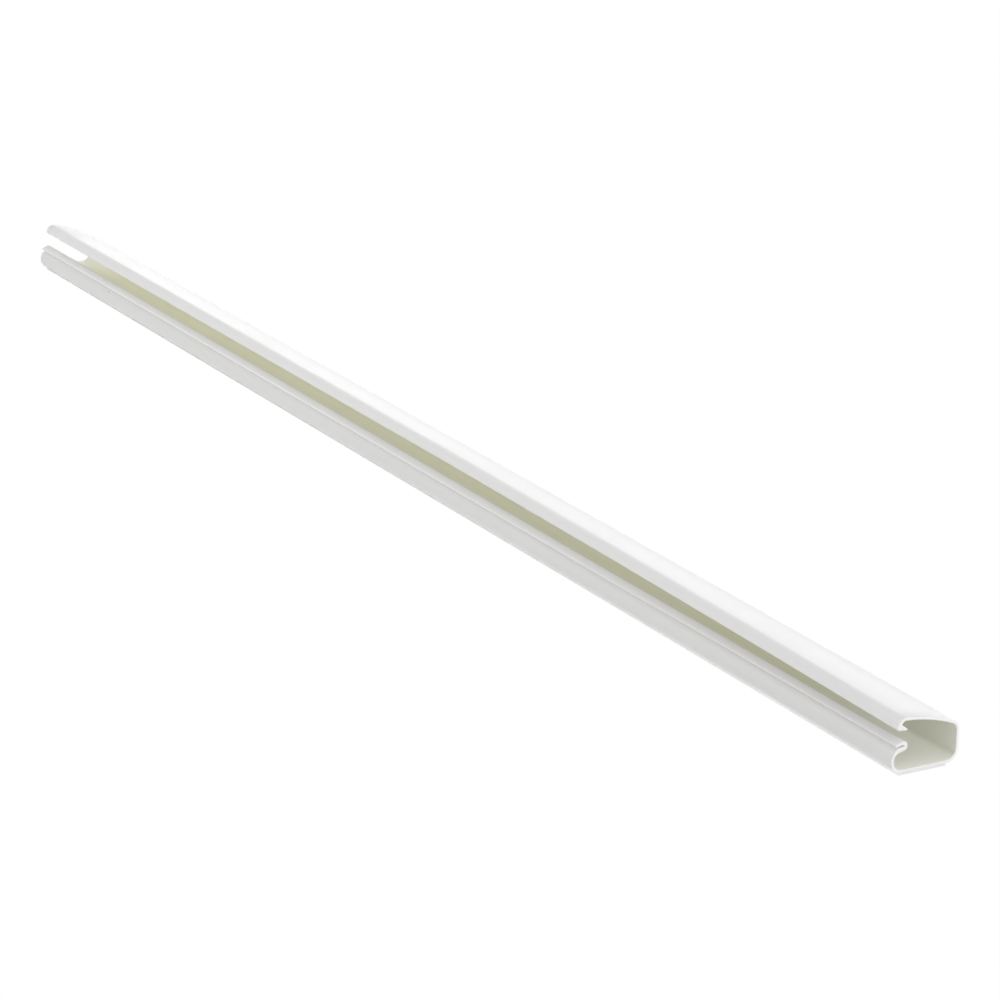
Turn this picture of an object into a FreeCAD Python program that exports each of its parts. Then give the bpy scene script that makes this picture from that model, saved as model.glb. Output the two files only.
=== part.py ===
import FreeCAD, Part
import math
import os
import Sketcher

# A cord cover raceway: a snap-shut plastic channel on a strip of foam tape.
# X runs along the length, Y across it with the latch at -Y, and Z is up.
# The origin is in the middle of the tape's underside.

DOC = FreeCAD.newDocument("cord_cover_raceway")
SHEET = DOC.addObject("Spreadsheet::Sheet", "Sizes")

# Lengths are in millimetres and angles in degrees.
SIZES = (
    ("length", 762.0, "cut length of the raceway"),
    ("tape_width", 19.05, "width of the foam tape"),
    ("tape_thickness", 0.8, "thickness of the foam tape"),
    ("wall", 1.0, "wall of the extrusion"),
    ("floor_front", 8.5, "flat floor from the middle towards the latch"),
    ("floor_back", 9.5, "flat floor from the middle towards the back"),
    ("front_corner_radius", 4.0, "outside radius under the latch wall"),
    ("latch_rise", 0.6, "upright part of the latch wall"),
    ("shoulder_radius", 2.9, "inside radius of the shoulder over the latch wall"),
    ("shoulder_slope", 12.0, "slope of the shoulder's inside where it ends"),
    ("shoulder_inside_run", 1.7, "straight run inside, under the groove"),
    ("shoulder_thickening", 0.7, "how much thicker the wall grows over the shoulder"),
    ("shoulder_run", 0.5, "straight run outside, from the shoulder into the groove"),
    ("groove_slope", 6.0, "slope of the lower side of the latch groove"),
    ("groove_radius", 0.35, "radius at the bottom of the latch groove"),
    ("groove_wall", 1.25, "wall behind the bottom of the groove"),
    ("hook_droop", 9.0, "downward slope of the hook's underside towards its tip"),
    ("hook_reach", 2.6, "underside of the hook from the groove to its tip"),
    ("hook_tip_radius", 0.4, "radius of the hook's rounded tip"),
    ("hook_tip_turn", 150.0, "turn round the hook's tip"),
    ("hook_back_lean", 5.0, "outward lean of the hook's back"),
    ("hook_rise", 0.4, "straight part of the hook's back"),
    ("hook_crown_radius", 1.4, "radius over the top of the hook"),
    ("hook_top_slope", 17.0, "downward slope of the hook's top towards its tip"),
    ("hook_slope_run", 2.5, "sloped top of the hook down to its tip"),
    ("back_corner_radius", 5.0, "outside radius under the back wall"),
    ("back_lean", 1.6, "outward lean of the back wall at the +X end"),
    ("back_rise", 6.5, "straight part of the back wall"),
    ("top_corner_radius", 3.8, "outside radius over the back wall"),
    ("flap_slope", 21.4, "slope of the flap where it leaves the corner"),
    ("crown_radius", 58.5, "outside radius of the flap's gentle crown"),
    ("crown_turn", 19.3, "turn of the flap's crown"),
    ("lip_radius", 3.4, "outside radius of the flap's curled lip"),
    ("lip_turn", 101.0, "turn of the curled lip down to its edge"),
    ("lip_edge_radius", 0.3, "small radius along the lip's lower edge"),
    ("lip_edge_turn", 75.0, "turn of the lip's edge into the underside of the barb"),
    ("lip_wall", 1.6, "wall of the curled lip"),
    ("lip_inside_turn", 78.0, "turn of the lip's inside down to the root of the barb"),
    ("barb_reach", 3.2, "underside of the barb from the lip's edge to its tip"),
    ("barb_tip_radius", 0.35, "radius of the barb's rounded tip"),
    ("barb_tip_turn", 140.0, "turn round the barb's tip"),
    ("flap_open", 6.7, "how much further the flap stands open along the sprung length"),
    ("flap_open_middle", 5.1, "how much further it stands open at the middle station"),
    ("flap_open_near", 2.9, "how much further it stands open at the near station"),
    ("latch_lean", 5.7, "outward lean of the latch wall up to the middle station"),
    ("settle_length", 320.0, "length at the +X end in which the flap comes down"),
    ("middle_station", 191.0, "distance of the middle station from the +X end"),
    ("near_station", 96.0, "distance of the near station from the +X end"),
)


def fill_sheet():
    """Writes a row for each size: its meaning, its value and its alias."""
    for row, (alias, number, meaning) in enumerate(SIZES, start=1):
        SHEET.set("A%d" % row, meaning)
        SHEET.set("B%d" % row, str(number))
        SHEET.setAlias("B%d" % row, alias)
    DOC.recompute()


def is_name(word):
    return word not in "+-" and not word[0].isdigit()


def value(sizes):
    """The number of a sum of sizes such as 'lip_radius - wall'."""
    total, sign = 0.0, 1.0
    for word in sizes.split():
        if word in "+-":
            sign = 1.0 if word == "+" else -1.0
        else:
            total += sign * float(getattr(SHEET, word) if is_name(word) else word)
    return total


def bound(sizes):
    """The same sum as an expression that reads the sheet."""
    return " ".join("Sizes." + word if is_name(word) else word for word in sizes.split())


def dimension(sketch, sizes, kind, *where):
    """Adds a dimension to a sketch and binds it to the sheet."""
    number = math.radians(value(sizes)) if kind == "Angle" else value(sizes)
    index = sketch.addConstraint(Sketcher.Constraint(kind, *where, number))
    sketch.setExpression("Constraints[%d]" % index, bound(sizes))


def unit(heading):
    return FreeCAD.Vector(math.cos(heading), math.sin(heading), 0)


def run(sketch, point, heading, length):
    """A straight line. Returns its start, its end, the point reached and the heading."""
    stop = point + unit(heading) * value(length)
    index = sketch.addGeometry(Part.LineSegment(point, stop))
    dimension(sketch, length, "Distance", index)
    return (index, 1), (index, 2), stop, heading


def bend(sketch, point, heading, radius, turn, side):
    """An arc that turns left (side 1) or right (side -1), with the same results as a run."""
    reach = value(radius)
    outward = heading - side * math.pi / 2
    centre = point - unit(outward) * reach
    end_angle = outward + side * math.radians(value(turn))
    circle = Part.Circle(centre, FreeCAD.Vector(0, 0, 1), reach)
    index = sketch.addGeometry(Part.ArcOfCircle(circle, *sorted((outward, end_angle))))
    dimension(sketch, radius, "Radius", index)
    dimension(sketch, turn, "Angle", index)
    tail, head = ((index, 1), (index, 2))[::side]
    return tail, head, centre + unit(end_angle) * reach, end_angle + side * math.pi / 2


def chain(sketch, start, heading, pieces):
    """Tangent lines and arcs in a row. Returns the first end, the last end and the point reached."""
    point, last, first = start, None, None
    for kind, *sizes in pieces:
        if kind == "run":
            tail, head, point, heading = run(sketch, point, heading, *sizes)
        else:
            side = {"left": 1, "right": -1}[kind]
            tail, head, point, heading = bend(sketch, point, heading, *sizes, side)
        if last is None:
            first = tail
        else:
            sketch.addConstraint(Sketcher.Constraint("Tangent", *last, *tail))
        last = head
    return first, last, point


def edge(sketch, outside, inside):
    """A straight edge that closes the wall from the end of one chain to the end of another."""
    index = sketch.addGeometry(Part.LineSegment(outside[2], inside[2]))
    sketch.addConstraint(Sketcher.Constraint("Coincident", index, 1, *outside[1]))
    sketch.addConstraint(Sketcher.Constraint("Coincident", index, 2, *inside[1]))


def floor_pair(sketch, height, flap_pieces, latch_pieces):
    """One face of the wall: from the middle of the floor to the flap, and to the latch."""
    start = FreeCAD.Vector(0, value(height), 0)
    flap = chain(sketch, start, 0.0, flap_pieces)
    latch = chain(sketch, start, math.pi, latch_pieces)
    vertical_axis = -2
    for first, *_ in (flap, latch):
        sketch.addConstraint(Sketcher.Constraint("Horizontal", first[0]))
    sketch.addConstraint(Sketcher.Constraint("Coincident", *flap[0], *latch[0]))
    sketch.addConstraint(Sketcher.Constraint("PointOnObject", *flap[0], vertical_axis))
    dimension(sketch, height, "DistanceY", *flap[0])
    return flap, latch


def section_sketch(body, name, along, flap_turn, latch_turn):
    """The closed outline of the bent wall, in a plane across the length."""
    sketch = body.newObject("Sketcher::SketchObject", name)
    plane = [p for p in body.Origin.OriginFeatures if p.Role == "YZ_Plane"][0]
    sketch.AttachmentSupport = [(plane, "")]
    sketch.MapMode = "FlatFace"
    sketch.setExpression("AttachmentOffset.Base.z", along)
    flap_outside, latch_outside = floor_pair(
        sketch, "tape_thickness",
        (("run", "floor_back"),
         ("left", "back_corner_radius", flap_turn),
         ("run", "back_rise"),
         ("left", "top_corner_radius", "90 - flap_slope"),
         ("left", "crown_radius", "crown_turn"),
         ("left", "lip_radius", "lip_turn"),
         ("left", "lip_edge_radius", "lip_edge_turn"),
         ("run", "barb_reach"),
         ("left", "barb_tip_radius", "barb_tip_turn")),
        (("run", "floor_front"),
         ("right", "front_corner_radius", latch_turn),
         ("run", "latch_rise"),
         ("right", "shoulder_radius + wall + shoulder_thickening", "90 - groove_slope"),
         ("run", "shoulder_run"),
         ("left", "groove_radius", "180 + hook_droop - groove_slope"),
         ("run", "hook_reach"),
         ("right", "hook_tip_radius", "hook_tip_turn")))
    flap_inside, latch_inside = floor_pair(
        sketch, "tape_thickness + wall",
        (("run", "floor_back"),
         ("left", "back_corner_radius - wall", flap_turn),
         ("run", "back_rise"),
         ("left", "top_corner_radius - wall", "90 - flap_slope"),
         ("left", "crown_radius - wall", "crown_turn"),
         ("left", "lip_radius - lip_wall", "lip_inside_turn")),
        (("run", "floor_front"),
         ("right", "front_corner_radius - wall", latch_turn),
         ("run", "latch_rise"),
         ("right", "shoulder_radius", "90 - shoulder_slope"),
         ("run", "shoulder_inside_run"),
         ("left", "groove_radius + groove_wall", "90 + hook_back_lean - shoulder_slope"),
         ("run", "hook_rise"),
         ("left", "hook_crown_radius", "90 + hook_top_slope - hook_back_lean"),
         ("run", "hook_slope_run")))
    edge(sketch, flap_outside, flap_inside)
    edge(sketch, latch_outside, latch_inside)
    DOC.recompute()
    return sketch


def make_channel():
    """The extrusion: straight with its flap sprung open, then settling towards the +X end."""
    body = DOC.addObject("PartDesign::Body", "channel")
    leaning, upright = "90 - latch_lean", "90"
    sprung = section_sketch(body, "SprungSection", "Sizes.length / 2 - Sizes.settle_length",
                            "90 - back_lean - flap_open", leaning)
    straight = body.newObject("PartDesign::Pad", "SprungLength")
    straight.Profile = sprung
    straight.Reversed = True
    straight.setExpression("Length", "Sizes.length - Sizes.settle_length")
    DOC.recompute()
    middle = section_sketch(body, "MiddleSection", "Sizes.length / 2 - Sizes.middle_station",
                            "90 - back_lean - flap_open_middle", leaning)
    near = section_sketch(body, "NearSection", "Sizes.length / 2 - Sizes.near_station",
                          "90 - back_lean - flap_open_near", upright)
    settled = section_sketch(body, "SettledSection", "Sizes.length / 2", "90 - back_lean", upright)
    settling = body.newObject("PartDesign::AdditiveLoft", "SettlingLength")
    settling.Profile = sprung
    settling.Sections = [middle, near, settled]
    settling.Ruled = True
    DOC.recompute()
    return body


def make_tape():
    """The foam tape, as long as the channel and stuck under its floor."""
    body = DOC.addObject("PartDesign::Body", "adhesive_tape")
    sketch = body.newObject("Sketcher::SketchObject", "TapeSection")
    plane = [p for p in body.Origin.OriginFeatures if p.Role == "YZ_Plane"][0]
    sketch.AttachmentSupport = [(plane, "")]
    sketch.MapMode = "FlatFace"
    half, top = value("tape_width") / 2, value("tape_thickness")
    corners = [FreeCAD.Vector(x, y, 0) for x, y in ((-half, 0), (half, 0), (half, top), (-half, top))]
    for start, stop in zip(corners, corners[1:] + corners[:1]):
        sketch.addGeometry(Part.LineSegment(start, stop))
    for side in range(4):
        sketch.addConstraint(Sketcher.Constraint("Coincident", side, 2, (side + 1) % 4, 1))
    for side, kind in ((0, "Horizontal"), (1, "Vertical"), (2, "Horizontal"), (3, "Vertical")):
        sketch.addConstraint(Sketcher.Constraint(kind, side))
    sketch.addConstraint(Sketcher.Constraint("Symmetric", 0, 1, 0, 2, -1, 1))
    dimension(sketch, "tape_width", "Distance", 0)
    dimension(sketch, "tape_thickness", "Distance", 1)
    DOC.recompute()
    strip = body.newObject("PartDesign::Pad", "TapeLength")
    strip.Profile = sketch
    strip.Midplane = True
    strip.setExpression("Length", "Sizes.length")
    DOC.recompute()
    return body


def check_and_export(bodies):
    """Stops on any failed object or bad shape, then writes a STEP file for each body."""
    DOC.recompute()
    failed = [o.Name for o in DOC.Objects if "Invalid" in o.State or "Error" in o.State]
    if failed:
        raise RuntimeError("failed objects: " + ", ".join(failed))
    for body in bodies:
        if body.Shape.isNull() or not body.Shape.isValid() or len(body.Shape.Solids) != 1:
            raise RuntimeError("bad shape: " + body.Label)
    os.makedirs("parts", exist_ok=True)
    for body in bodies:
        body.Shape.exportStep("parts/%s.step" % body.Label)
        print(body.Label, body.Shape.BoundBox, "volume %.1f" % body.Shape.Volume)


fill_sheet()
check_and_export([make_channel(), make_tape()])
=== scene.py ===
"""White cord cover raceway on a white studio floor, seen along its length from the latch side."""

import math

import bmesh
import bpy
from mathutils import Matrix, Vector


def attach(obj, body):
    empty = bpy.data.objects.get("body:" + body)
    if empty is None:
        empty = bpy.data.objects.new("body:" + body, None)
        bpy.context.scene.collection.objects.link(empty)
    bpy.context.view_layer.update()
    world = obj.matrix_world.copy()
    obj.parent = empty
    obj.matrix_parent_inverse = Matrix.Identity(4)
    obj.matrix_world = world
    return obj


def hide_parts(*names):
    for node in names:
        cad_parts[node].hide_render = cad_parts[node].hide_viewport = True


MM = 0.001
ALONG = (1, 0, 0)

# The photograph's view: a long lens low over the near end, looking down the length
PHOTO_SIDE = 1000
FOCAL_PIXELS = 3839.0
SENSOR_WIDTH = 36.0
EYE = Vector((1370.0, -692.8, 487.4)) * MM
LOOKS_AT = Vector((82.55, -0.72, 10.0)) * MM

# Studio light: name, direction round and up in degrees, distance, size, watts and tint of each panel
SOFTBOXES = (
    ("front_left_softbox", -98, 40, 1.0, (0.65, 0.4), 1.12, (0.975, 1.0, 0.93)),
    ("back_right_softbox", 40, 42, 1.7, (1.1, 0.7), 2.9, (1.0, 0.965, 1.0)),
    ("low_back_softbox", 137, 18, 1.7, (1.5, 1.1), 5.6, (1.0, 0.965, 0.99)),
)

# The white room: how strongly it lights the raceway, how bright it looks in reflections, and its floor
WORLD_LIGHT = 0.58
WORLD_MIRRORED = 0.85
FLOOR_SIDE = 12.0
FLOOR_WHITE = (0.95, 0.95, 0.95, 1)
SHADOW_CATCHER = (0.05, 0.05, 0.05, 1)
FLOOR_GLOW = 0.965

# The extrusion's section, in millimetres and degrees
HALF_LENGTH = 381.0
TAPE_THICKNESS = 0.8
TAPE_WIDTH = 19.05
WALL = 1.0
FLOOR_BACK = 9.5
FLOOR_FRONT = 8.5
BACK_CORNER_RADIUS = 5.0
FRONT_CORNER_RADIUS = 4.0
BACK_TURN = 88.4
BACK_RISE = 6.5
TOP_CORNER_RADIUS = 3.8
TOP_CORNER_TURN = 68.6
CROWN_RADIUS = 58.5
CROWN_TURN = 19.3
LATCH_RISE = 0.6

# Its outside and inside, each drawn from the middle of the floor: the length of a run, or the radius,
# turn and number of chords of a bend
FLAP_OUTSIDE = (
    ("run", FLOOR_BACK),
    ("left", BACK_CORNER_RADIUS, BACK_TURN, 14),
    ("run", BACK_RISE),
    ("left", TOP_CORNER_RADIUS, TOP_CORNER_TURN, 14),
    ("left", CROWN_RADIUS, CROWN_TURN, 18),
    ("left", 3.4, 101.0, 18),
    ("left", 0.3, 75.0, 6),
    ("run", 3.2),
    ("left", 0.35, 140.0, 10),
)
FLAP_INSIDE = (
    ("run", FLOOR_BACK),
    ("left", BACK_CORNER_RADIUS - WALL, BACK_TURN, 14),
    ("run", BACK_RISE),
    ("left", TOP_CORNER_RADIUS - WALL, TOP_CORNER_TURN, 12),
    ("left", CROWN_RADIUS - WALL, CROWN_TURN, 18),
    ("left", 1.8, 78.0, 12),
)
LATCH_OUTSIDE = (
    ("run", FLOOR_FRONT),
    ("right", FRONT_CORNER_RADIUS, 90.0, 14),
    ("run", LATCH_RISE),
    ("right", 4.6, 84.0, 16),
    ("run", 0.5),
    ("left", 0.35, 183.0, 10),
    ("run", 2.6),
    ("right", 0.4, 150.0, 8),
)
LATCH_INSIDE = (
    ("run", FLOOR_FRONT),
    ("right", FRONT_CORNER_RADIUS - WALL, 90.0, 14),
    ("run", LATCH_RISE),
    ("right", 2.9, 78.0, 14),
    ("run", 1.7),
    ("left", 1.6, 83.0, 10),
    ("run", 0.4),
    ("left", 1.4, 102.0, 12),
    ("run", 2.5),
)
SAME_POINT = 0.002

# Lengthwise: the far part, where the flap stays sprung open, and the near part, where it comes down
SPRUNG_LENGTH, SPRUNG_STEPS = 442.0, 12
SETTLING_LENGTH, SETTLING_STEPS = 320.0, 40

# How the flap comes down and the latch wall straightens: from, to and turn, in mm and degrees
FLAP_SETTLES = ((61.0, 381.0, 3.97), (190.0, 381.0, 2.055), (285.0, 381.0, 0.676))
LATCH_STRAIGHTENS = ((190.0, 285.0, -5.7),)
LATCH_TURN = 90.0
BACK_CORNER = (FLOOR_BACK, TAPE_THICKNESS + BACK_CORNER_RADIUS)
FRONT_CORNER = (-FLOOR_FRONT, TAPE_THICKNESS + FRONT_CORNER_RADIUS)
FLAP_ABOVE = 13.5

# Where the inner skin, which carries painted shade and a painted glow, gives way to the outer one: the
# height of the hook's top, and the fade below it
HOOK_TOP, HOOK_FADE = 11.6, 2.0

# The sawn ends: their broken edge, and how far in from the end the sawn face reaches
CUT_EDGE = 0.07
CUT_FACE = 0.02
SMOOTH_ANGLE = 35.0

# The tape: a foam core between two films of adhesive, slit off square at its ends
FILM = 0.06
FOAM_SET_BACK = 0.04
FILM_TRIM = 0.025
SLIT_FACE = 0.1

# Finishes, as the colour each surface reflects; the inner skin's colour and the foam hollows' colour are
# painted shade
OUTSIDE_WHITE = (0.948, 0.928, 0.934, 1)
# Painted shade: the inner skin is a darker, more olive copy of the outside's white, for the shade and
# tinted bounces inside the channel
INSIDE_PAINTED_SHADE = (0.815, 0.82, 0.765, 1)
STREAK_WHITE = (0.88, 0.87, 0.85, 1)
SAWN_WHITE = (0.97, 0.96, 0.96, 1)
SPECK_GREY = (0.35, 0.31, 0.27, 1)
FOAM_WHITE = (0.93, 0.92, 0.92, 1)
# Painted shade: the colour of the foam's hollows, in the low parts of its relief and in its pores
FOAM_HOLLOW_SHADE = (0.82, 0.81, 0.80, 1)
FILM_WHITE = (0.90, 0.90, 0.90, 1)

# How deep light scatters in each plastic, in mm, and how much of it does
PVC_SCATTER, PVC_SCATTERED = 0.8, 1.0
FOAM_SCATTER, FOAM_SCATTERED = 0.5, 0.5

# Noise made into a finish: the range of the noise, then the range it is carried to, or else 0 to 1
STREAKS = (0.3, 0.7, 0.0, 0.05)
SATIN = (0.25, 0.75, 0.31, 0.34)
HANDLING = (0.3, 0.7, -0.01, 0.02)
FOAM_CELLS = (0.35, 0.65)
FOAM_PORES = (0.15, 0.08)

# How rough each noise is: the number of finer layers in it
GRAIN_DETAIL, CLOUD_DETAIL, DIE_LINES_DETAIL, SAW_DETAIL = 3.0, 2.0, 1.5, 2.0

# Die lines: how fine they are across the section, and how little they change along the length
DIE_LINES_PER_MM = 1.1
DIE_LINES_DRIFT = 0.004

# Relief in the finish: its height in mm and its strength
GRAIN_DEPTH, GRAIN_STRENGTH = 0.008, 0.05
SAW_DEPTH, SAW_STRENGTH = 0.05, 0.5
CELL_DEPTH, CELL_STRENGTH = 0.03, 0.3
SAW_STROKES_PER_MM = (0.001, 0.4, 2.6)
SAW_SLANT = 12.0
SAWN_ROUGHER = 0.3
FOAM_ROUGH, FILM_ROUGH = 0.85, 0.3
PORES_PER_MM = 2.5

# The one dark speck on the latch wall, towards its far end
SPECK = (-295.5, -11.4, 8.35)
SPECK_RADIUS = 0.45

# Painted light: a weak glow put on both plastics, standing in for light that comes through their thin walls
# and bounces between them: its colours and strengths
INNER_PAINTED_LIGHT = (1.0, 0.972, 0.68, 1)
PAINTED_LIGHT_WHITE = (0.98, 0.98, 1.0, 1)
FOAM_PAINTED_LIGHT = (1.0, 0.97, 0.98, 1)
NO_LIGHT = (0.0, 0.0, 0.0, 1)
PVC_PAINTED_GLOW = 0.25
FOAM_PAINTED_GLOW = 0.2

# Where the inner skin's painted glow changes: from and to in mm, then its share at each, or else 0 and 1;
# near the cut, the inner floor gets more, as painted light, and the walls above it less, as painted shade
ALONG_GLOW = (-250.0, 381.0, 0.51, 0.31)
ACROSS_GLOW = (4.0, 10.0, 0.8, 1.08)
NEAR_CUT = (290.0, 360.0)
ABOVE_FLOOR = (1.9, 3.8)
CUT_LIGHTS_FLOOR, CUT_SHADES_WALLS = 0.42, 0.62

# The other places with painted light, a glow that lifts their shade, with a painted highlight along the
# hook's tip: each one's middle in the section and its reach in mm
PAINTED_LIGHT_PLACES = {
    "under_hook": ((-9.6, 10.1), 1.5),
    "foot": ((-10.6, 1.3), 1.8),
    "hook_tip": ((-11.0, 10.7), 0.8),
    "lip": ((-10.5, 17.0), 4.5),
}
# Strengths of the painted glow at these places and on the sawn faces; along the length, the hook tip's
# painted highlight and the tape's painted light
UNDER_HOOK_GLOW, LIP_GLOW, FOOT_GLOW, CUT_GLOW = 0.2, 0.22, 1.0, 0.9
HOOK_TIP_GLOW = (-100.0, 300.0, 0.4, 0.0)
TAPE_SIDE_GLOW = (-100.0, 300.0, 0.0, 0.85)


def add_camera():
    data = bpy.data.cameras.new("photo_camera")
    data.sensor_width = SENSOR_WIDTH
    data.lens = FOCAL_PIXELS / PHOTO_SIDE * SENSOR_WIDTH
    data.clip_start = 0.01
    camera = bpy.data.objects.new("photo_camera", data)
    bpy.context.scene.collection.objects.link(camera)
    camera.location = EYE
    camera.rotation_euler = (LOOKS_AT - EYE).to_track_quat("-Z", "Y").to_euler()
    bpy.context.scene.camera = camera


# Modelling helpers

def start_point(name, place):
    """A new piece that is a single point, open in edit mode."""
    bpy.ops.object.select_all(action="DESELECT")
    bpy.ops.mesh.primitive_plane_add(size=MM, location=place)
    piece = bpy.context.object
    piece.name = piece.data.name = name
    bpy.ops.object.transform_apply(location=True, rotation=True, scale=True)
    bpy.ops.object.mode_set(mode="EDIT")
    bpy.ops.mesh.select_mode(type="VERT")
    bpy.ops.mesh.select_all(action="SELECT")
    bpy.ops.mesh.merge(type="CENTER")
    return piece


def pick_points(piece, *places):
    """Selects only the points at these places, and returns how many there are."""
    mesh = bmesh.from_edit_mesh(piece.data)
    for point in mesh.verts:
        point.select = any((point.co - place).length < SAME_POINT * MM for place in places)
    mesh.select_flush_mode()
    bmesh.update_edit_mesh(piece.data)
    return sum(point.select for point in mesh.verts)


def select_only(piece, kind, wanted):
    """Selects the edges or the faces that are wanted, and nothing else."""
    mesh = bmesh.from_edit_mesh(piece.data)
    for item in (*mesh.verts, *mesh.edges, *mesh.faces):
        item.select = False
    for item in getattr(mesh, kind):
        if wanted(item):
            item.select_set(True)
    bmesh.update_edit_mesh(piece.data)


def heading_vector(heading):
    return Vector((0, math.cos(heading), math.sin(heading)))


def draw_chain(piece, start, heading, steps):
    """Draws straight runs and bends on from a point, and returns the point reached."""
    pick_points(piece, start)
    tip = start.copy()
    for kind, size, *bend in steps:
        if kind == "run":
            move = heading_vector(heading) * size * MM
            bpy.ops.mesh.extrude_vertices_move(TRANSFORM_OT_translate={"value": move})
            tip += move
        else:
            side = 1 if kind == "left" else -1
            turn, chords = math.radians(bend[0]), bend[1]
            centre = tip + heading_vector(heading + side * math.pi / 2) * size * MM
            bpy.ops.mesh.spin(steps=chords, angle=-side * turn, center=centre, axis=ALONG)
            heading += side * turn
            tip = centre - heading_vector(heading + side * math.pi / 2) * size * MM
    return tip


def join_points(piece, first, second):
    """Draws a straight edge between two points."""
    found = pick_points(piece, first, second)
    if found != 2:
        raise RuntimeError("expected 2 points, found %d" % found)
    bpy.ops.mesh.edge_face_add()


def mark_points(piece, name, measure, kind="float", first=0):
    """Notes a measure of the place in the section on every point, which keeps it when the walls swing."""
    mesh = bmesh.from_edit_mesh(piece.data)
    note = getattr(mesh.verts.layers, kind).new(name)
    for point in list(mesh.verts)[first:]:
        point[note] = measure(point.co.y / MM, point.co.z / MM)
    bmesh.update_edit_mesh(piece.data)


# The extrusion

def how_far_inside(y, z):
    """1 on the inner skin of the channel, falling to 0 over the top of the hook."""
    return 1.0 if y > 0 else max(0.0, min(1.0, (HOOK_TOP - z) / HOOK_FADE))


def lengthwise_steps():
    """Long steps where the section stays the same, short ones where it changes."""
    return ([SPRUNG_LENGTH / SPRUNG_STEPS] * SPRUNG_STEPS
            + [SETTLING_LENGTH / SETTLING_STEPS] * SETTLING_STEPS)


def model_channel():
    """The extrusion, drawn as its section at the far cut and pulled along its length."""
    outside = Vector((-HALF_LENGTH, 0, TAPE_THICKNESS)) * MM
    inside = outside + Vector((0, 0, WALL)) * MM
    piece = start_point("channel_extrusion", outside)
    barb_tip = draw_chain(piece, outside, 0.0, FLAP_OUTSIDE)
    hook_tip = draw_chain(piece, outside, math.pi, LATCH_OUTSIDE)
    pick_points(piece, outside)
    bpy.ops.mesh.extrude_vertices_move(TRANSFORM_OT_translate={"value": (0, 0, WALL * MM)})
    drawn_outside = len(bmesh.from_edit_mesh(piece.data).verts) - 1
    barb_root = draw_chain(piece, inside, 0.0, FLAP_INSIDE)
    hook_top = draw_chain(piece, inside, math.pi, LATCH_INSIDE)
    mark_points(piece, "inner", how_far_inside, first=drawn_outside)

    bpy.ops.mesh.select_mode(type="EDGE")
    select_only(piece, "edges", lambda edge: all(abs(v.co.y) < SAME_POINT * MM for v in edge.verts))
    bpy.ops.mesh.delete(type="EDGE")
    bpy.ops.mesh.select_mode(type="VERT")
    join_points(piece, barb_tip, barb_root)
    join_points(piece, hook_tip, hook_top)
    bpy.ops.mesh.select_all(action="SELECT")
    bpy.ops.mesh.edge_face_add()

    mark_points(piece, "section", lambda y, z: (0, y, z), kind="float_vector")
    for name, (middle, reach) in PAINTED_LIGHT_PLACES.items():
        mark_points(piece, name, lambda y, z: max(0.0, 1.0 - (math.dist((y, z), middle) / reach) ** 2))
    for length in lengthwise_steps():
        bpy.ops.mesh.extrude_region_move(TRANSFORM_OT_translate={"value": (length * MM, 0, 0)})
    bpy.ops.mesh.select_all(action="SELECT")
    bpy.ops.mesh.normals_make_consistent(inside=False)
    bpy.ops.object.mode_set(mode="OBJECT")
    return piece


def swing_share(point, corner, turn):
    """How much a point swings with its wall: none in the floor, rising round the corner, all beyond."""
    outward = abs(point.co.y) / MM - abs(corner[0])
    upward = point.co.z / MM - corner[1]
    if outward > 0:
        share = (math.degrees(math.atan2(upward, outward)) + 90) / turn
    else:
        share = 1.0 if upward > 0 else 0.0
    return max(0.0, min(1.0, share))


def swing_wall(piece, name, belongs, corner, turn, stretches):
    """Swings the wall beyond a corner of the floor, by a twist about that corner for each stretch."""
    group = piece.vertex_groups.new(name=name)
    for point in piece.data.vertices:
        if belongs(point.co.y / MM, point.co.z / MM):
            group.add([point.index], swing_share(point, corner, turn), "REPLACE")
    pivot = bpy.data.objects.new(name, None)
    bpy.context.scene.collection.objects.link(pivot)
    for start, stop, angle in stretches:
        pivot.location = Vector((stop, *corner)) * MM
        bpy.context.view_layer.update()
        twist = piece.modifiers.new(name, "SIMPLE_DEFORM")
        twist.deform_method = "TWIST"
        twist.deform_axis = "X"
        twist.origin = pivot
        twist.vertex_group = name
        twist.angle = math.radians(angle)
        twist.limits = [(place + HALF_LENGTH) / (2 * HALF_LENGTH) for place in (start, stop)]
        bpy.ops.object.modifier_apply(modifier=twist.name)
    bpy.data.objects.remove(pivot)
    piece.vertex_groups.clear()


def finish_cuts(piece):
    """Takes the sharpness off both sawn ends, and shades the extrusion smooth between its edges."""
    bpy.ops.object.mode_set(mode="EDIT")
    bpy.ops.mesh.select_mode(type="EDGE")
    end = (HALF_LENGTH - CUT_FACE) * MM
    select_only(piece, "edges", lambda edge: all(abs(v.co.x) > end for v in edge.verts))
    bpy.ops.mesh.bevel(offset=CUT_EDGE * MM, segments=2, affect="EDGES", clamp_overlap=False)
    bpy.ops.object.mode_set(mode="OBJECT")
    bpy.ops.object.shade_smooth_by_angle(angle=math.radians(SMOOTH_ANGLE))


# The mounting tape

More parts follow.
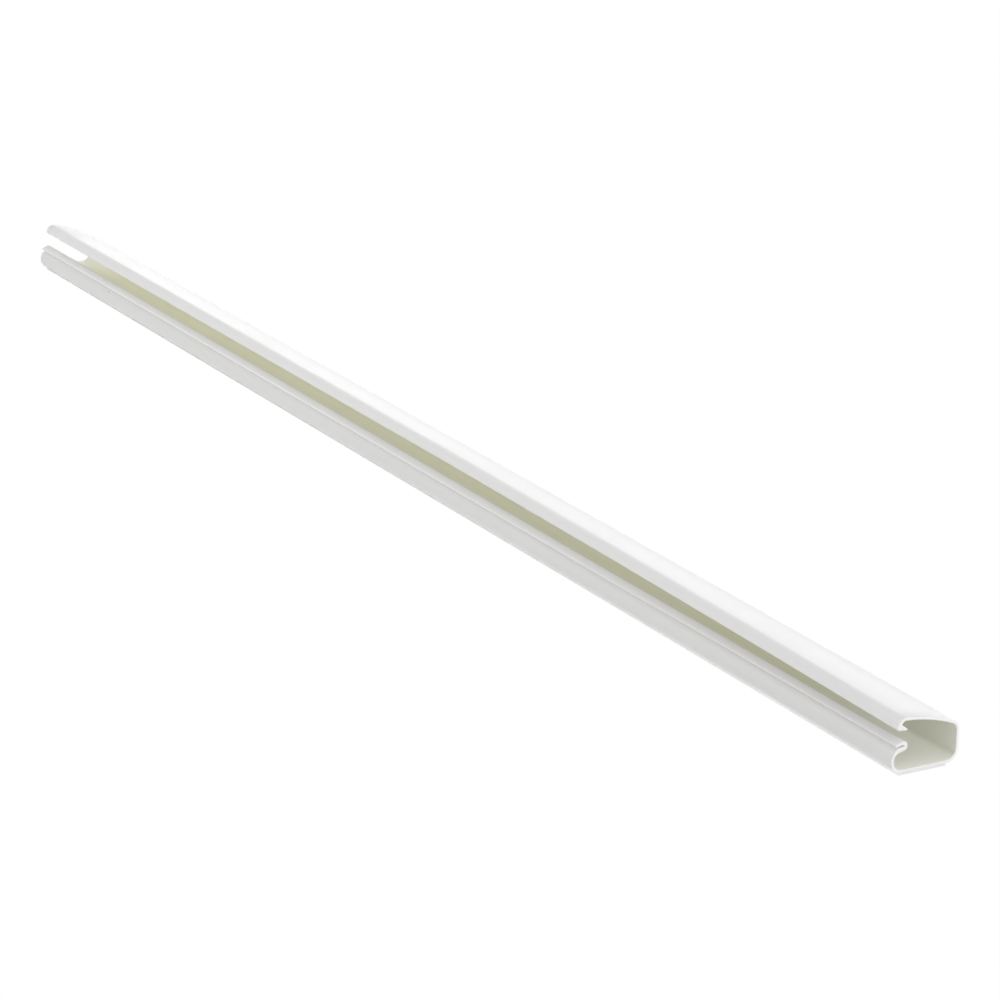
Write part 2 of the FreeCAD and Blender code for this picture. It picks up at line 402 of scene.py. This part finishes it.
def model_tape():
    """The mounting tape: foam between two films, squeezed a little narrower between them."""
    bpy.ops.object.select_all(action="DESELECT")
    bpy.ops.mesh.primitive_cube_add(size=1, location=(0, 0, TAPE_THICKNESS / 2 * MM))
    piece = bpy.context.object
    piece.name = piece.data.name = "mounting_tape"
    piece.scale = (2 * HALF_LENGTH * MM, TAPE_WIDTH * MM, TAPE_THICKNESS * MM)
    bpy.ops.object.transform_apply(location=True, rotation=True, scale=True)
    bpy.ops.object.mode_set(mode="EDIT")
    for height in (FILM, TAPE_THICKNESS - FILM):
        bpy.ops.mesh.select_all(action="SELECT")
        bpy.ops.mesh.bisect(plane_co=(0, 0, height * MM), plane_no=(0, 0, 1))
    bpy.ops.mesh.select_mode(type="FACE")
    select_only(piece, "faces", lambda face: abs(face.normal.z) < 0.5
                and FILM * MM < face.calc_center_median().z < (TAPE_THICKNESS - FILM) * MM)
    bpy.ops.mesh.inset(thickness=FILM_TRIM * MM, depth=-FOAM_SET_BACK * MM, use_boundary=True)
    bpy.ops.mesh.select_all(action="SELECT")
    bpy.ops.mesh.normals_make_consistent(inside=False)
    bpy.ops.object.mode_set(mode="OBJECT")
    bpy.ops.object.shade_smooth_by_angle(angle=math.radians(SMOOTH_ANGLE))
    return piece


# Node helpers

def node(tree, kind, inputs=None, **settings):
    """A new node with its settings, and its inputs set to values or joined to other outputs."""
    new = tree.nodes.new("ShaderNode" + kind)
    for name, value in settings.items():
        setattr(new, name, value)
    for name, value in (inputs or {}).items():
        if isinstance(value, bpy.types.NodeSocket):
            tree.links.new(value, new.inputs[name])
        else:
            new.inputs[name].default_value = value
    return new


def math_of(tree, operation, *values):
    return node(tree, "Math", dict(enumerate(values)), operation=operation).outputs[0]


def faded(tree, value, low, high, to_low=0.0, to_high=1.0, how="SMOOTHSTEP"):
    """A value carried from one range to another, eased at both ends unless told otherwise."""
    ranges = {"Value": value, "From Min": low, "From Max": high, "To Min": to_low, "To Max": to_high}
    return node(tree, "MapRange", ranges, interpolation_type=how).outputs["Result"]


def faded_evenly(tree, value, *ranges):
    return faded(tree, value, *ranges, how="LINEAR")


def mixed(tree, share, first, second):
    """A colour between two others."""
    return node(tree, "Mix", {"Factor": share, "A": first, "B": second}, data_type="RGBA").outputs["Result"]


def noise(tree, place, scale, detail):
    return node(tree, "TexNoise", {"Vector": place, "Scale": scale, "Detail": detail}).outputs["Fac"]


def noted(tree, name):
    """What mark_points noted on the points under this name."""
    return node(tree, "Attribute", attribute_name=name).outputs["Fac"]


def in_mm(tree):
    """The place on the piece, in millimetres."""
    place = node(tree, "TexCoord").outputs["Object"]
    return node(tree, "VectorMath", {0: place, "Scale": 1 / MM}, operation="SCALE").outputs["Vector"]


def parts_of(tree, vector):
    parts = node(tree, "SeparateXYZ", {"Vector": vector}).outputs
    return parts["X"], parts["Y"], parts["Z"]


def plastic(name, scattered, scatter):
    """A new material with light scattering in it, and its tree and shader."""
    material = bpy.data.materials.new(name)
    material.use_nodes = True
    shader = material.node_tree.nodes["Principled BSDF"]
    shader.inputs["Subsurface Weight"].default_value = scattered
    shader.inputs["Subsurface Radius"].default_value = (1.0, 1.0, 1.0)
    shader.inputs["Subsurface Scale"].default_value = scatter * MM
    return material, material.node_tree, shader


def place_group(tree, group, **values):
    """A group placed in a material with its own values."""
    placed = tree.nodes.new("ShaderNodeGroup")
    placed.node_tree = group
    for title, value in values.items():
        placed.inputs[title.replace("_", " ").capitalize()].default_value = value
    return placed


# The two plastics

def grain_group():
    """Fine uneven grain, as moulded and foamed plastics have, with a slow cloud of handling over it."""
    tree = bpy.data.node_groups.new("fine_grain", "ShaderNodeTree")
    for title, value in (("Grains per mm", 4.0), ("Clouds per mm", 0.03)):
        socket = tree.interface.new_socket(title, in_out="INPUT", socket_type="NodeSocketFloat")
        socket.default_value = value
    for title in ("Grain", "Cloud"):
        tree.interface.new_socket(title, in_out="OUTPUT", socket_type="NodeSocketFloat")
    given, wanted = tree.nodes.new("NodeGroupInput").outputs, tree.nodes.new("NodeGroupOutput").inputs
    place = in_mm(tree)
    tree.links.new(noise(tree, place, given["Grains per mm"], GRAIN_DETAIL), wanted["Grain"])
    tree.links.new(noise(tree, place, given["Clouds per mm"], CLOUD_DETAIL), wanted["Cloud"])
    return tree


def pvc_material(grain):
    """Satin white extruded plastic with die lines and sawn ends; its inner skin has painted shade, darker
    and olive, and the plastic has a warm painted glow inside and a painted glow on its edges.
    """
    material, tree, shader = plastic("white_pvc", PVC_SCATTERED, PVC_SCATTER)
    place = in_mm(tree)
    along, across, height = parts_of(tree, place)
    sawn = math_of(tree, "GREATER_THAN", math_of(tree, "ABSOLUTE", along), HALF_LENGTH - CUT_FACE)
    inner = noted(tree, "inner")
    surface = place_group(tree, grain, grains_per_mm=5.0, clouds_per_mm=0.02).outputs

    section = node(tree, "Attribute", attribute_name="section").outputs["Vector"]
    along_drift = math_of(tree, "MULTIPLY", along, DIE_LINES_DRIFT)
    drift = node(tree, "CombineXYZ", {"X": along_drift}).outputs["Vector"]
    die_place = node(tree, "VectorMath", {0: section, 1: drift}, operation="ADD").outputs["Vector"]
    die_lines = noise(tree, die_place, DIE_LINES_PER_MM, DIE_LINES_DETAIL)

    # Painted shade: the inner skin takes the darker, olive colour
    skin = mixed(tree, inner, OUTSIDE_WHITE, INSIDE_PAINTED_SHADE)
    streaked = mixed(tree, faded(tree, die_lines, *STREAKS), skin, STREAK_WHITE)
    cut = mixed(tree, sawn, streaked, SAWN_WHITE)
    from_speck = node(tree, "VectorMath", {0: place, 1: SPECK}, operation="DISTANCE").outputs["Value"]
    speck = faded(tree, from_speck, SPECK_RADIUS, SPECK_RADIUS / 2)
    tree.links.new(mixed(tree, speck, cut, SPECK_GREY), shader.inputs["Base Color"])

    # Painted light: a glow on the inner skin, under and along the hook, on the lip, at the foot and on the
    # sawn faces
    light = painted_light_on_pvc(tree, along, across, height, inner, sawn)
    tree.links.new(light, shader.inputs["Emission Color"])
    shader.inputs["Emission Strength"].default_value = PVC_PAINTED_GLOW

    satin = faded(tree, die_lines, *SATIN)
    handled = math_of(tree, "ADD", satin, faded(tree, surface["Cloud"], *HANDLING))
    rough = math_of(tree, "ADD", handled, math_of(tree, "MULTIPLY", sawn, SAWN_ROUGHER))
    tree.links.new(rough, shader.inputs["Roughness"])

    strokes = node(tree, "Mapping", {"Vector": place, "Rotation": (math.radians(SAW_SLANT), 0, 0),
                                     "Scale": SAW_STROKES_PER_MM}).outputs["Vector"]
    saw_marks = math_of(tree, "MULTIPLY", noise(tree, strokes, 1.0, SAW_DETAIL), sawn)
    grained = node(tree, "Bump", {"Height": surface["Grain"], "Strength": GRAIN_STRENGTH,
                                  "Distance": GRAIN_DEPTH * MM}).outputs["Normal"]
    scored = node(tree, "Bump", {"Height": saw_marks, "Strength": SAW_STRENGTH, "Distance": SAW_DEPTH * MM,
                                 "Normal": grained}).outputs["Normal"]
    tree.links.new(scored, shader.inputs["Normal"])
    return material


def painted_light_on_pvc(tree, along, across, height, inner, sawn):
    """The colour of the painted light, a glow from the inner skin to the cut faces."""
    near_cut = faded(tree, along, *NEAR_CUT)
    wall_near_cut = math_of(tree, "MULTIPLY", near_cut, faded(tree, height, *ABOVE_FLOOR))
    floor_near_cut = math_of(tree, "SUBTRACT", near_cut, wall_near_cut)
    unshaded = faded_evenly(tree, wall_near_cut, 0.0, 1.0, 1.0, 1.0 - CUT_SHADES_WALLS)
    share = math_of(tree, "MULTIPLY", inner, faded_evenly(tree, along, *ALONG_GLOW))
    for change in (unshaded, faded(tree, across, *ACROSS_GLOW)):
        share = math_of(tree, "MULTIPLY", share, change)
    light = mixed(tree, share, NO_LIGHT, INNER_PAINTED_LIGHT)
    for place, share in (
        (math_of(tree, "MULTIPLY", inner, floor_near_cut), CUT_LIGHTS_FLOOR),
        (noted(tree, "under_hook"), UNDER_HOOK_GLOW),
        (noted(tree, "hook_tip"), faded_evenly(tree, along, *HOOK_TIP_GLOW)),
        (math_of(tree, "MULTIPLY", noted(tree, "lip"), math_of(tree, "SUBTRACT", 1.0, inner)), LIP_GLOW),
        (noted(tree, "foot"), FOOT_GLOW),
        (sawn, CUT_GLOW),
    ):
        light = mixed(tree, math_of(tree, "MULTIPLY", place, share), light, PAINTED_LIGHT_WHITE)
    return light


def foam_material(grain):
    """Closed-cell foam, open where it is slit, between two smooth films, with painted shade in its hollows
    and a painted glow on its slit ends and, towards the near end, all over.
    """
    material, tree, shader = plastic("foam_tape", FOAM_SCATTERED, FOAM_SCATTER)
    place = in_mm(tree)
    along, _, height = parts_of(tree, place)
    from_middle = math_of(tree, "ABSOLUTE", math_of(tree, "SUBTRACT", height, TAPE_THICKNESS / 2))
    film = math_of(tree, "GREATER_THAN", from_middle, TAPE_THICKNESS / 2 - FILM)
    slit = math_of(tree, "GREATER_THAN", math_of(tree, "ABSOLUTE", along), HALF_LENGTH - SLIT_FACE)
    cells = place_group(tree, grain, grains_per_mm=9.0, clouds_per_mm=0.05).outputs["Grain"]
    pores = node(tree, "TexVoronoi", {"Vector": place, "Scale": PORES_PER_MM}).outputs["Distance"]

    # Painted shade: darker where the cells' relief is low and in the pores
    foam = mixed(tree, faded(tree, cells, *FOAM_CELLS), FOAM_HOLLOW_SHADE, FOAM_WHITE)
    pored = mixed(tree, faded(tree, pores, *FOAM_PORES), foam, FOAM_HOLLOW_SHADE)
    tree.links.new(mixed(tree, film, pored, FILM_WHITE), shader.inputs["Base Color"])
    tree.links.new(faded(tree, film, 0.0, 1.0, FOAM_ROUGH, FILM_ROUGH), shader.inputs["Roughness"])

    # Painted light: a glow on the slit ends, and over the whole tape rising towards the near end
    lit = math_of(tree, "MAXIMUM", slit, faded_evenly(tree, along, *TAPE_SIDE_GLOW))
    tree.links.new(mixed(tree, lit, NO_LIGHT, FOAM_PAINTED_LIGHT), shader.inputs["Emission Color"])
    shader.inputs["Emission Strength"].default_value = FOAM_PAINTED_GLOW

    hollows = math_of(tree, "MULTIPLY", cells, math_of(tree, "SUBTRACT", 1.0, film))
    bump = node(tree, "Bump", {"Height": hollows, "Strength": CELL_STRENGTH, "Distance": CELL_DEPTH * MM})
    tree.links.new(bump.outputs["Normal"], shader.inputs["Normal"])
    return material


# The studio

def seen_directly(tree):
    """1 for what the camera, a reflection or a view through glass shows, and 0 for light on its way."""
    path = node(tree, "LightPath").outputs
    seen = math_of(tree, "MAXIMUM", path["Is Camera Ray"], path["Is Glossy Ray"])
    return math_of(tree, "MAXIMUM", seen, path["Is Transmission Ray"])


def add_floor():
    """A white floor that the camera sees nearly evenly lit, with the raceway's faint shadow on it."""
    bpy.ops.object.select_all(action="DESELECT")
    bpy.ops.mesh.primitive_plane_add(size=FLOOR_SIDE, location=(0, 0, 0))
    floor = bpy.context.object
    floor.name = "studio_floor"
    material = bpy.data.materials.new("studio_floor")
    material.use_nodes = True
    tree = material.node_tree
    tree.nodes.clear()
    seen = seen_directly(tree)
    diffuse = node(tree, "BsdfDiffuse", {"Color": mixed(tree, seen, FLOOR_WHITE, SHADOW_CATCHER)})
    strength = math_of(tree, "MULTIPLY", seen, FLOOR_GLOW)
    glow = node(tree, "Emission", {"Color": (1, 1, 1, 1), "Strength": strength})
    both = node(tree, "AddShader", {0: diffuse.outputs["BSDF"], 1: glow.outputs["Emission"]})
    node(tree, "OutputMaterial", {"Surface": both.outputs["Shader"]})
    floor.data.materials.append(material)


def add_light():
    """A white room all round, and the softboxes in it."""
    world = bpy.data.worlds.new("studio")
    bpy.context.scene.world = world
    world.use_nodes = True
    tree = world.node_tree
    room = faded_evenly(tree, seen_directly(tree), 0.0, 1.0, WORLD_LIGHT, WORLD_MIRRORED)
    white_behind = math_of(tree, "MAXIMUM", room, node(tree, "LightPath").outputs["Is Camera Ray"])
    background = tree.nodes["Background"]
    background.inputs["Color"].default_value = (1, 1, 1, 1)
    tree.links.new(white_behind, background.inputs["Strength"])
    for softbox in SOFTBOXES:
        add_softbox(*softbox)


def add_softbox(name, round_about, up, distance, size, power, tint):
    """A soft panel in a direction from the raceway, turned towards the middle of it."""
    data = bpy.data.lights.new(name, "AREA")
    data.shape = "RECTANGLE"
    data.size, data.size_y = size
    data.energy = power
    data.color = tint
    lamp = bpy.data.objects.new(name, data)
    bpy.context.scene.collection.objects.link(lamp)
    turn, rise = math.radians(round_about), math.radians(up)
    away = Vector((math.cos(rise) * math.cos(turn), math.cos(rise) * math.sin(turn), math.sin(rise)))
    lamp.location = away * distance
    lamp.rotation_euler = (-away).to_track_quat("-Z", "Y").to_euler()


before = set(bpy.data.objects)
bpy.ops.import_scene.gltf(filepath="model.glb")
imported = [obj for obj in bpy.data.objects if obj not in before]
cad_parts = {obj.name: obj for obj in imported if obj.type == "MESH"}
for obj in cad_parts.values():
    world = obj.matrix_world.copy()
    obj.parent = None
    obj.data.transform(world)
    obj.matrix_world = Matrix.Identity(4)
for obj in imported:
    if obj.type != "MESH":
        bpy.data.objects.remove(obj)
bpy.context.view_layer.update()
bpy.context.scene.view_settings.view_transform = "Standard"
add_camera()
add_floor()
add_light()

channel = model_channel()
swing_wall(channel, "flap_swing", lambda y, z: y > 0 or z > FLAP_ABOVE,
           BACK_CORNER, BACK_TURN, FLAP_SETTLES)
swing_wall(channel, "latch_swing", lambda y, z: y < 0 and z < FLAP_ABOVE,
           FRONT_CORNER, LATCH_TURN, LATCH_STRAIGHTENS)
finish_cuts(channel)
fine_grain = grain_group()
channel.data.materials.append(pvc_material(fine_grain))
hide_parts("channel")
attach(channel, "root")
tape = model_tape()
tape.data.materials.append(foam_material(fine_grain))
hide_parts("adhesive_tape")
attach(tape, "root")
